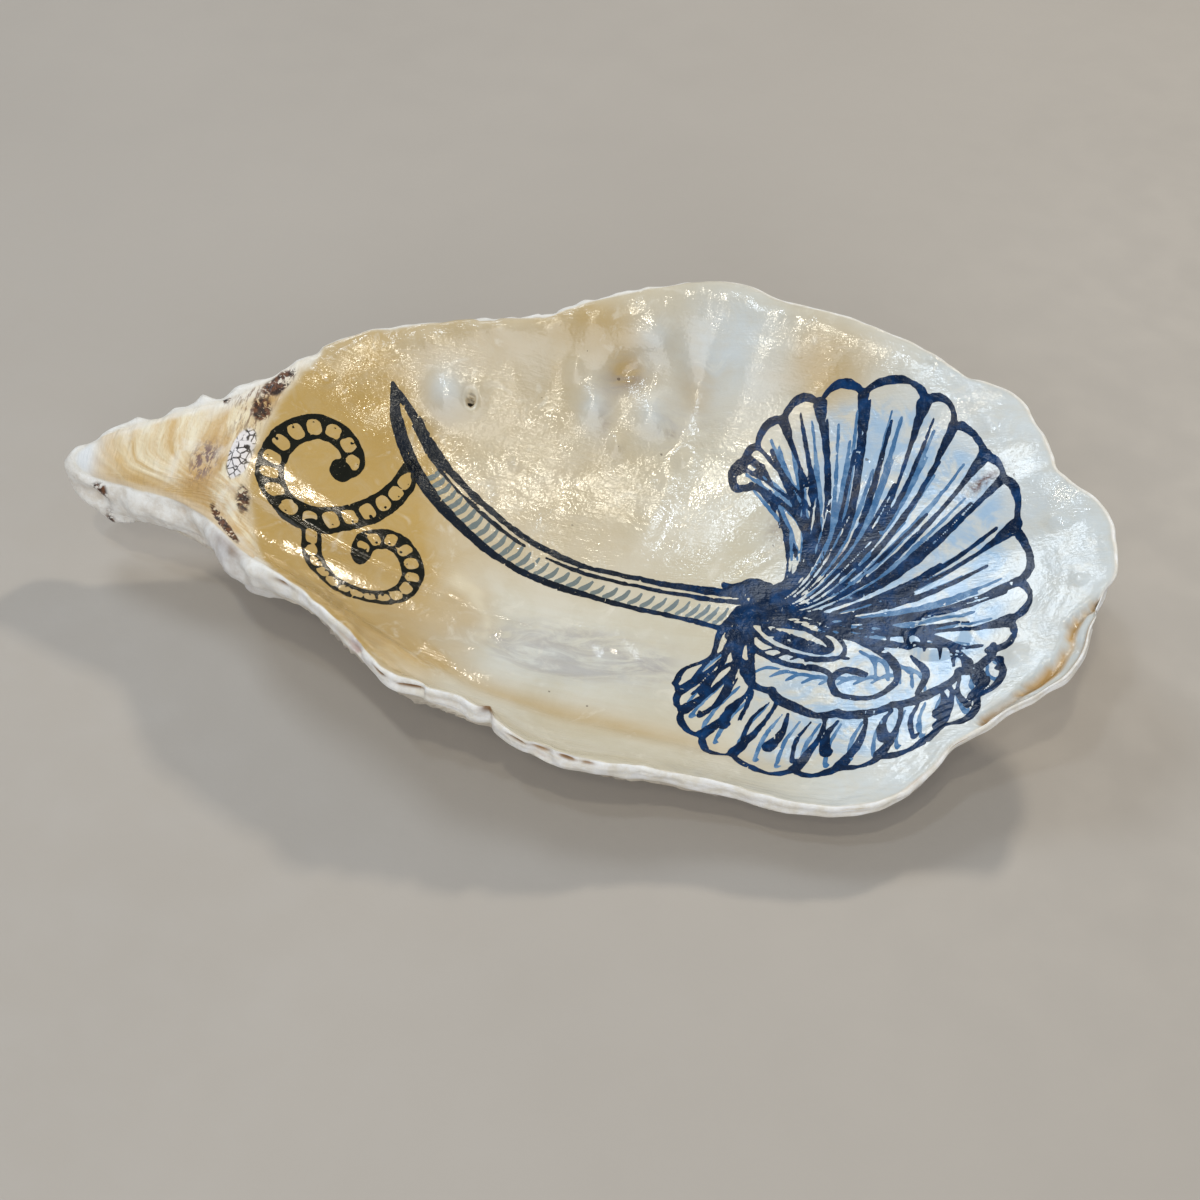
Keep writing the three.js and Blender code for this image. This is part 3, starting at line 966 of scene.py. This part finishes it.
def blue_strokes():
    """Mid-blue veins between the dark ones."""
    ink = Ink()
    ink.ticks(row_of(8, (26.6, -12.4), (2.1, -0.55), 0.05), (1.6, 0.9), (3.4, 0.7), [0.3, 0.6, 0.3])
    ink.ticks(row_of(5, (39.4, -9.2), (1.5, -0.7)), (1.8, -1.4), (2.3, -3.6), [0.3, 0.6, 0.35])
    outline, _ = fan_outline()
    for i in range(2, 44):
        reach = 0.60 + 0.32 * abs(math.sin(2.3 * i + 0.6))
        line = vein_to(outline, (i + 0.2) / 44, reach)
        start = 14 + int(8 * abs(math.sin(4.1 * i)))
        ink.stroke(line[start:], [0.3, 0.6, 0.55, 0.3] if i % 3 else [0.4, 0.95, 0.8, 0.4])
    lower, _, collar = frill_outline()
    for i in range(19):
        share = (i + 0.3) / 19
        foot, rim = point_at(collar, share), point_at(lower, share)
        hook(ink, foot * 0.85 + rim * 0.15, foot * 0.15 + rim * 0.85, 0.5, [0.3, 0.55, 0.5, 0.3])
    ink.ragged(0.07, 5.0)
    return ink


def hatching():
    """Slanted grey strokes along the stem's shaded side."""
    ink = Ink()
    low = curve([*STEM_LOW, (22.0, -6.0)], 200)
    for k in range(4, 196, 6):
        foot = low[k] + (0.5, 0.45)
        way = np.array([1.4, 1.7 + 0.3 * math.sin(k)])
        ink.ticks([foot], way / 2 + (0.2, -0.1), way, [0.6, 0.7, 0.35], 6)
    ink.ragged(0.07, 6.0)
    return ink


def outline_cells(field):
    """Corner and crossing points of a field's inked side, and the faces between them."""
    ny, nx = field.shape
    inked = field < 0
    corner = np.where(inked, 1, 0)
    number = np.full(field.shape, -1)
    number[inked] = np.arange(inked.sum())
    ys, xs = np.nonzero(inked)
    spots = [np.stack([xs, ys], -1).astype(float)]
    made = inked.sum()
    crossing = []
    for dy, dx in ((0, 1), (1, 0)):
        a, b = field[: ny - dy, : nx - dx], field[dy:, dx:]
        cut = (a < 0) != (b < 0)
        ids = np.full(a.shape, -1)
        ids[cut] = made + np.arange(cut.sum())
        made += cut.sum()
        y, x = np.nonzero(cut)
        t = np.clip(a[cut] / (a[cut] - b[cut]), 0.12, 0.88)
        spots.append(np.stack([x + dx * t, y + dy * t], -1))
        crossing.append(ids)
    flat, tall = crossing
    faces = []
    case = corner[:-1, :-1] + 2 * corner[:-1, 1:] + 4 * corner[1:, 1:] + 8 * corner[1:, :-1]
    corners = [number[:-1, :-1], number[:-1, 1:], number[1:, 1:], number[1:, :-1]]
    sides = [flat[:-1], tall[:, 1:], flat[1:], tall[:, :-1]]
    for value in range(1, 16):
        here = case == value
        if not here.any():
            continue
        ring = []
        for k in range(4):
            bit, following = value >> k & 1, value >> ((k + 1) % 4) & 1
            if bit:
                ring.append(corners[k][here])
            if bit != following:
                ring.append(sides[k][here])
        faces += np.stack(ring, -1).tolist()
    return np.concatenate(spots), faces


def film(name, ink, tree, lift):
    """A paper-thin closed film of ink that lies on the shell."""
    spots, faces = outline_cells(ink.field)
    plan = ink.LOW + spots * ink.STEP
    z = heights(tree, plan[:, 0], plan[:, 1])
    count = len(plan)
    top = np.column_stack([plan, z + lift])
    bottom = np.column_stack([plan, z - 0.05])
    edges = [(a, b) for face in faces for a, b in zip(face, face[1:] + face[:1])]
    known = set(edges)
    walls = [[b, a, a + count, b + count] for a, b in edges if (b, a) not in known]
    under = [[v + count for v in reversed(face)] for face in faces]
    piece = new_object(name, np.concatenate([top, bottom]), faces + under + walls)
    piece.data.set_sharp_from_angle(angle=math.radians(50))
    return piece


def wash_strength(x, y):
    """Where a thin wash of light blue lies over the flower."""
    loop = np.array(FAN + FRILL + [(22, -9), (26, 1), (30, 8)])
    inside = np.zeros(x.shape, bool)
    for (ax, ay), (bx, by) in zip(loop, np.roll(loop, -1, 0)):
        cross = ((ay > y) != (by > y)) & (x < (bx - ax) * (y - ay) / (by - ay + 1e-9) + ax)
        inside ^= cross
    gap = away_from(x, y, np.vstack([loop, loop[:1]]))
    return np.where(inside, step(gap, 0.0, 2.5), 0) * step(x, 22, 38)


# ---------------------------------------------------------------- materials


def paint(code):
    """A linear colour from a hex code."""
    parts = [int(code[i : i + 2], 16) / 255 for i in (1, 3, 5)]
    return tuple(c / 12.92 if c <= 0.04045 else ((c + 0.055) / 1.055) ** 2.4 for c in parts) + (1.0,)


class Net:
    """A short way to write a material's nodes."""

    def __init__(self, name):
        self.material = bpy.data.materials.new(name)
        self.material.use_nodes = True
        self.tree = self.material.node_tree
        self.shader = self.tree.nodes["Principled BSDF"]
        self.place = self.add("ShaderNodeTexCoord").outputs["Object"]

    def add(self, kind, values=None, **settings):
        node = self.tree.nodes.new(kind)
        for key, value in settings.items():
            setattr(node, key, value)
        for key, value in (values or {}).items():
            self.put(node.inputs[key], value)
        return node

    def put(self, socket, value):
        """Links a node's output to a socket, or sets the socket to a number, vector or hex colour."""
        if isinstance(value, bpy.types.NodeSocket):
            self.tree.links.new(value, socket)
        else:
            socket.default_value = paint(value) if isinstance(value, str) else value

    def stretched(self, scale, turn=0.0):
        values = {"Vector": self.place, "Scale": scale, "Rotation": (0, 0, math.radians(turn))}
        return self.add("ShaderNodeMapping", values).outputs["Vector"]

    def noise(self, size, detail=4.0, rough=0.55, twist=0.0, vector=None):
        """Noise with lumps of a size in millimetres."""
        values = {"Vector": vector or self.place, "Scale": 1 / (size * MM), "Detail": detail}
        values |= {"Roughness": rough, "Distortion": twist}
        return self.add("ShaderNodeTexNoise", values).outputs["Fac"]

    def bands(self, coordinates, scale, detail, rough):
        """Noise in a space of other coordinates than the object's."""
        vector = self.add("ShaderNodeCombineXYZ", dict(enumerate(coordinates))).outputs[0]
        values = {"Vector": vector, "Scale": scale, "Detail": detail, "Roughness": rough}
        return self.add("ShaderNodeTexNoise", values).outputs["Fac"]

    def gap_from(self, centre, radii):
        """How far a point is from an oval's middle, over the oval's radii, seen from above."""
        squares = []
        for part, middle, radius in zip(self.axes(), centre, radii):
            off = self.math("MULTIPLY_ADD", part, 1 / (radius * MM), -middle / radius)
            squares.append(self.times(off, off))
        return self.math("SQRT", self.plus(*squares))

    def axes(self):
        return self.add("ShaderNodeSeparateXYZ", {0: self.place}).outputs

    def fact(self, name):
        return self.add("ShaderNodeAttribute", attribute_name=name).outputs["Fac"]

    def math(self, operation, a, b=0.0, c=0.0):
        return self.add("ShaderNodeMath", {0: a, 1: b, 2: c}, operation=operation).outputs[0]

    def times(self, value, *others):
        for other in others:
            value = self.math("MULTIPLY", value, other)
        return value

    def plus(self, a, b):
        return self.math("ADD", a, b)

    def ramp(self, value, low, high, start=0.0, end=1.0):
        values = {"Value": value, "From Min": low, "From Max": high, "To Min": start, "To Max": end}
        return self.add("ShaderNodeMapRange", values, interpolation_type="SMOOTHSTEP").outputs["Result"]

    def patchy(self, size, low, high, detail=4.0):
        """A number that wanders between low and high."""
        return self.ramp(self.noise(size, detail), 0.3, 0.7, low, high)

    def mix(self, share, a, b):
        """A colour between a and b."""
        return self.add("ShaderNodeMix", {0: share, 6: a, 7: b}, data_type="RGBA").outputs[2]

    def coats(self, colour, *layers):
        """A colour with others laid over it in turn, each given as its strength and itself."""
        for share, layer in layers:
            colour = self.mix(share, colour, layer)
        return colour

    def blend(self, share, a, b):
        """A number between a and b."""
        return self.add("ShaderNodeMix", {0: share, 2: a, 3: b}, data_type="FLOAT").outputs[0]

    def finish(self, colour, rough, height, bump=0.06, ior=1.5):
        """Joins a colour, a roughness and bumps of so many millimetres to the shader."""
        values = {"Height": height, "Distance": bump * MM, "Strength": 1.0}
        normal = self.add("ShaderNodeBump", values).outputs["Normal"]
        for name, value in (("Base Color", colour), ("Roughness", rough), ("Normal", normal)):
            self.put(self.shader.inputs[name], value)
        self.shader.inputs["IOR"].default_value = ior
        return self.material


def brushed_varnish(net):
    """Heights of the brush marks and dimples in the varnish; the brush went along the shell."""
    long_marks = net.noise(0.50, 3.0, 0.6, vector=net.stretched((0.045, 1.0, 0.35), 4))
    fine_marks = net.noise(0.22, 2.0, 0.6, vector=net.stretched((0.06, 1.0, 0.35), -3))
    patches = net.times(net.ramp(net.noise(9.0, 2.0), 0.36, 0.60), 0.6)
    dimples = net.plus(net.times(net.noise(1.6, 2.0), 0.9), net.times(net.noise(0.6, 2.0, 0.6), 0.7))
    return net.plus(net.times(net.plus(long_marks, fine_marks), patches), dimples)


def bowl_colour(net):
    """The varnished inside, from tan at the hinge to cool white at the lip, with painted shade in its
    hollows and crease and painted highlights on its lumps.
    """
    cloud, veil = net.noise(13.0, 5.0, 0.6, 0.4), net.noise(4.0, 5.0, 0.62, 0.8)
    streak = net.noise(1.2, 4.0, 0.6, vector=net.stretched((0.08, 1.0, 0.5), 3))
    swirl = net.noise(2.6, 6.0, 0.65, 1.5, vector=net.stretched((0.35, 1.0, 1.0), 12))
    wash = net.ramp(net.noise(4.5, 4.0, 0.6, 1.5), 0.34, 0.60)
    stain = net.ramp(net.noise(1.4, 5.0, 0.7, 1.0), 0.30, 0.60)
    fleck = net.math("LESS_THAN", net.noise(1.3, 1.0, 0.4), 0.188)
    hole = net.plus(net.gap_from(WORM_HOLE, (1.0, 1.15)), net.times(net.noise(0.7, 2.0), 0.3))
    # The tan also carries painted shade in the hollows and along the low wall's crease; the cool white also
    # carries painted highlights on the lumps' tops.
    tan_and_shade = net.times(net.fact("tan_and_shade"), net.ramp(veil, 0.15, 0.60, 0.72, 1.0))
    cool = net.times(net.fact("cool"), net.ramp(veil, 0.25, 0.65, 0.6, 1.0))
    return net.coats(
        net.mix(net.ramp(cloud, 0.35, 0.68), "#DEDACC", "#D2CBB6"),
        (tan_and_shade, net.mix(cloud, "#CDAF70", "#B8954F")),
        (net.times(net.fact("border"), 0.45), "#EFE6CC"),
        (cool, net.mix(cloud, "#DFE5E8", "#C9D4DA")),
        (net.ramp(streak, 0.40, 0.72, 0.0, 0.11), "#BFA87C"),
        (net.ramp(veil, 0.56, 0.72, 0.0, 0.35), "#F1EDE0"),
        # The grey also carries painted shade in and beside the high wall's folds.
        (net.times(net.fact("grey"), net.ramp(swirl, 0.36, 0.62), 0.62), "#A09BA0"),
        (net.times(net.fact("wash"), wash, 0.75), "#9CC3E8"),
        # The brown stains also carry painted shade beside the folds and in their hollow.
        (net.times(net.fact("brown_stain_and_shade"), stain), "#5E3420"),
        (net.times(fleck, 0.6), "#4A3A2A"),
        # Round the worm's hole: a whitish lip, a tan ring, and a black middle that is painted shade down
        # the hole.
        (net.ramp(hole, 1.35, 1.05, 0.0, 0.6), "#F1EBDA"),
        (net.ramp(hole, 0.95, 0.80, 0.0, 0.55), "#B79F74"),
        (net.ramp(hole, 0.62, 0.52), "#150E0A"),
        (net.times(net.fact("ochre"), net.ramp(veil, 0.2, 0.5, 0.75, 1.0)), "#C8A265"),
    )


def beak_colour(net):
    """The beak's top: arched bands of cream and tan, the ligament's scar and a chalky crackled patch."""
    wobble = net.noise(5.0, 3.0, 0.5)
    arch = net.plus(net.fact("arch"), net.times(wobble, 2.4))
    band = net.bands([arch, net.times(net.axes()[1], 140.0)], 0.55, 5.0, 0.6)
    tip = net.plus(net.fact("tip"), net.times(wobble, 0.3))
    thread = net.noise(0.45, 4.0, 0.65, vector=net.stretched((1.0, 0.14, 0.3), -6))
    cells = {"Vector": net.stretched((1.0, 0.7, 1.0)), "Scale": 1250.0}
    crack = net.add("ShaderNodeTexVoronoi", cells, feature="DISTANCE_TO_EDGE").outputs["Distance"]
    open_crack = net.times(net.ramp(crack, 0.12, 0.05), net.ramp(net.noise(1.8, 3.0), 0.38, 0.48))
    chalk = net.times(net.fact("chalk"), net.ramp(thread, 0.2, 0.5, 0.6, 1.0))
    dash = net.noise(0.5, 4.0, 0.7, vector=net.stretched((1.0, 0.2, 1.0)))
    return net.coats(
        net.mix(net.ramp(band, 0.38, 0.66), "#F1E5C6", "#D6B67E"),
        (net.ramp(net.fact("relief"), 0.1, -0.3), "#C9A468"),
        (net.ramp(net.noise(6.0, 4.0, 0.6, 0.5), 0.45, 0.70, 0.0, 0.6), "#F3EFE4"),
        (net.ramp(net.fact("rim_gap"), 2.6, 0.6, 0.0, 0.75), "#F0EDE6"),
        (net.ramp(arch, 10.5, 6.5, 0.0, 0.6), "#D8B577"),
        (net.ramp(tip, 0.10, 0.80), "#EBEFF3"),
        (net.times(net.fact("streaks"), net.ramp(thread, 0.50, 0.60), 0.8), "#7A5536"),
        (net.ramp(chalk, 0.2, 0.5), net.mix(open_crack, "#ECE8EA", "#1E1512")),
        (net.times(net.fact("arcs"), net.ramp(dash, 0.46, 0.56), 0.85), "#6E5357"),
    )


def outside_colour(net):
    """The chalky outside: cream growth bands, ochre in the steps, purple-grey rays."""
    ray = net.noise(2.2, 3.0, 0.6, vector=net.stretched((0.10, 1.0, 0.6), -4))
    ring = net.bands([net.fact("growth")], 60.0, 3.0, 0.5)
    return net.coats(
        net.mix(net.ramp(net.noise(6.0, 6.0, 0.65, 0.5), 0.35, 0.7), "#EAE3D4", "#C4BCB0"),
        (net.ramp(ray, 0.54, 0.72, 0.0, 0.55), "#8F8088"),
        (net.ramp(net.fact("relief"), 0.05, -0.35, 0.0, 0.85), "#9A7A4C"),
        (net.ramp(ring, 0.52, 0.66, 0.0, 0.45), "#A8957A"),
        (net.ramp(net.noise(9.0, 4.0, 0.6, 1.0), 0.55, 0.72, 0.0, 0.5), "#A39A8A"),
    )


def rim_colour(net):
    """The broken edge: white, with thin tan layers, ochre gaps and one pink-grey blush."""
    across, along = net.axes()[:2]
    level = net.times(net.fact("edge_share"), 9.0)
    layer = net.bands([net.times(across, 90.0), net.times(along, 90.0), level], 1.0, 5.0, 0.7)
    blush = net.times(net.fact("blush"), net.ramp(net.noise(1.2, 4.0), 0.4, 0.6))
    return net.coats(
        net.mix(net.ramp(net.noise(2.0, 5.0, 0.6), 0.35, 0.65), "#FBFCFD", "#ECE8DE"),
        (net.ramp(layer, 0.57, 0.70, 0.0, 0.5), "#C9B48C"),
        (net.ramp(net.fact("relief"), -0.10, -0.40, 0.0, 0.9), "#AD8450"),
        (net.times(blush, 0.6), "#A87F86"),
    )


def beak_side_colour(net):
    """White lumps with ochre in the creases between them, except at the tip."""
    creased = net.ramp(net.fact("relief"), -0.25, -1.3)
    kept = net.ramp(net.fact("tip"), 0.5, 0.05, 0.15, 0.9)
    lumpy = net.mix(net.ramp(net.noise(1.6, 5.0, 0.65), 0.35, 0.7), "#F7F7F5", "#E3DED6")
    return net.mix(net.times(creased, kept), lumpy, "#C6A064")


def shell_material():
    """The whole skin: outside, inside, edge and the beak's side by their facts, and stains over them."""
    net = Net("oyster_shell_surface")
    inside, beak, edge = net.fact("inside"), net.fact("beak"), net.fact("edge")
    dark = net.times(net.fact("dark"), net.ramp(net.noise(0.9, 5.0, 0.7, 0.6), 0.38, 0.50))
    flake = net.mix(net.ramp(net.noise(0.6, 4.0), 0.4, 0.6), "#2E1B12", "#6B4226")
    colour = net.coats(
        outside_colour(net),
        (inside, net.mix(beak, bowl_colour(net), beak_colour(net))),
        (edge, rim_colour(net)),
        (net.fact("beak_side"), beak_side_colour(net)),
        (net.times(net.fact("violet"), 0.35), "#A59FAE"),
        (net.fact("slit"), "#7D5A30"),
        (net.ramp(dark, 0.15, 0.45), flake),
    )
    dry = net.patchy(1.5, 0.62, 0.85)
    half_wet = net.patchy(1.5, 0.30, 0.50)
    wet = net.patchy(3.0, 0.10, 0.20)
    rough = net.blend(inside, dry, net.blend(beak, wet, half_wet))
    rough = net.blend(edge, rough, net.patchy(1.0, 0.30, 0.55, 3.0))
    grain = net.plus(net.noise(0.8, 6.0, 0.7), net.times(net.noise(0.25, 3.0), 0.5))
    striae = net.noise(0.5, 3.0, 0.6, vector=net.stretched((1.0, 0.12, 0.3), 8))
    height = net.blend(beak, brushed_varnish(net), net.times(striae, 3.0))
    height = net.blend(inside, net.times(grain, 3.0), height)
    height = net.blend(edge, height, net.times(grain, 2.0))
    return net.finish(colour, rough, height)


def ink_material(name, deep, pale, left, thin):
    """Ink under varnish: thick and thin places, specks where it didn't take, another hue at the left."""
    net = Net(name)
    colour = net.coats(
        net.mix(net.ramp(net.noise(2.6, 5.0, 0.65, 0.6), 0.40, 0.72), deep, pale),
        (net.ramp(net.axes()[0], 22 * MM, 6 * MM, 0.0, 0.9), left),
        (net.ramp(net.noise(0.35, 3.0, 0.7), 0.63, 0.72, 0.0, thin), "#C9BD9C"),
    )
    rough = net.patchy(2.0, 0.16, 0.30)
    return net.finish(colour, rough, brushed_varnish(net), ior=1.30)


def floor_material():
    net = Net("pale_floor")
    colour = net.mix(net.noise(60.0, 4.0, 0.5), "#B9B3AC", "#AFA9A2")
    rough = net.patchy(8.0, 0.55, 0.7, 3.0)
    return net.finish(colour, rough, net.noise(1.2, 4.0), bump=0.02)


# ---------------------------------------------------------------- the object


def make_shell():
    points, facts = shell_rows()
    vertices, faces = skin_mesh(points, facts)
    place, values = vertices[:, :3], vertices[:, 3:]
    shell = new_object("shell_skin", place, faces)
    facts = {name: values[:, i] for i, name in enumerate(facts)}
    facts |= marks_at(place, facts)
    for name, value in facts.items():
        layer = shell.data.attributes.new(name, "FLOAT", "POINT")
        layer.data.foreach_set("value", np.ascontiguousarray(value, dtype=np.float32))
    shell.data.materials.append(shell_material())
    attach(shell, "root")
    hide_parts("oyster_shell")
    return shell


def make_drawing(shell):
    tree = tree_of(shell)
    for name, ink, deep, pale, left, thin, lift in [
        ("ink_hatching", hatching(), "#76858C", "#929EA2", "#76807F", 0.5, 0.02),
        ("ink_blue", blue_strokes(), "#3F6F9F", "#7DA0C4", "#3F6F9F", 0.35, 0.025),
        ("ink_flower", stem_and_flower(), "#031C3A", "#0C3D70", "#191E24", 0.25, 0.035),
        ("ink_tendrils", tendrils(), "#1A1D18", "#2C3029", "#1A1B15", 0.35, 0.035),
    ]:
        piece = film(name, ink, tree, lift)
        piece.data.materials.append(ink_material(name, deep, pale, left, thin))
        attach(piece, "root")


def make_stage():
    bpy.ops.mesh.primitive_plane_add(size=16.0)
    floor = bpy.context.object
    floor.name = "floor"
    floor.data.materials.append(floor_material())


LIGHTS = [  # name, place and size in metres, watts, colour
    # Two main lights behind the shell, and a wide one in front
    ("warm_lamp", (0.255, 0.615, 0.605), 0.07, 2.3, (1.0, 0.90, 0.74)),
    ("cool_window", (-0.40, 0.34, 0.70), 0.24, 1.65, (0.80, 0.90, 1.0)),
    ("room", (0.10, -0.80, 0.55), 0.7, 3.9, (0.98, 0.99, 1.0)),
    # Small ones, seen as highlights in the varnish
    ("ceiling_lamp", (-0.01, -0.285, 0.86), 0.045, 0.85, (1.0, 0.93, 0.76)),
    ("side_window", (-0.20, -0.13, 0.872), 0.06, 0.6, (0.76, 0.88, 1.0)),
    ("far_lamp", (-0.05, -0.50, 0.76), 0.05, 0.4, (1.0, 0.93, 0.78)),
]


def make_lights():
    """Square soft lights that all point at the middle of the shell, and a soft sky."""
    middle = Vector((0, 0, 0.01))
    for name, place, size, watts, colour in LIGHTS:
        data = bpy.data.lights.new(name, "AREA")
        data.energy, data.size, data.color = watts, size, colour
        lamp = bpy.data.objects.new(name, data)
        lamp.location = place
        lamp.rotation_euler = (middle - Vector(place)).to_track_quat("-Z", "Y").to_euler()
        bpy.context.collection.objects.link(lamp)
    world = bpy.data.worlds.new("soft_room")
    world.use_nodes = True
    background = world.node_tree.nodes["Background"]
    background.inputs["Color"].default_value = (0.95, 0.97, 1.0, 1.0)
    background.inputs["Strength"].default_value = 0.23
    bpy.context.scene.world = world
    bpy.context.scene.view_settings.view_transform = "Standard"


def make_camera():
    data = bpy.data.cameras.new("camera")
    data.sensor_width = 36.0
    data.angle = math.radians(FIELD_OF_VIEW)
    data.clip_start, data.clip_end = 0.005, 20.0
    camera = bpy.data.objects.new("camera", data)
    around, up = math.radians(AZIMUTH), math.radians(ELEVATION)
    back = Vector((math.sin(around) * math.cos(up), -math.cos(around) * math.cos(up), math.sin(up)))
    camera.location = (AIM + back * DISTANCE) * MM
    camera.rotation_euler = (-back).to_track_quat("-Z", "Y").to_euler()
    bpy.context.collection.objects.link(camera)
    bpy.context.scene.camera = camera


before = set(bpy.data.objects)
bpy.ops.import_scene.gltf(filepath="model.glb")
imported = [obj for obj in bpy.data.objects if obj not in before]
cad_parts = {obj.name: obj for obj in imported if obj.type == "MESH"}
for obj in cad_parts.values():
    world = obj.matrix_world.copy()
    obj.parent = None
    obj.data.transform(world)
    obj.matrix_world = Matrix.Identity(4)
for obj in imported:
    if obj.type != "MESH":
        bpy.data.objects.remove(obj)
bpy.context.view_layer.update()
make_stage()
make_lights()
make_camera()
make_drawing(make_shell())
bpy.context.view_layer.update()
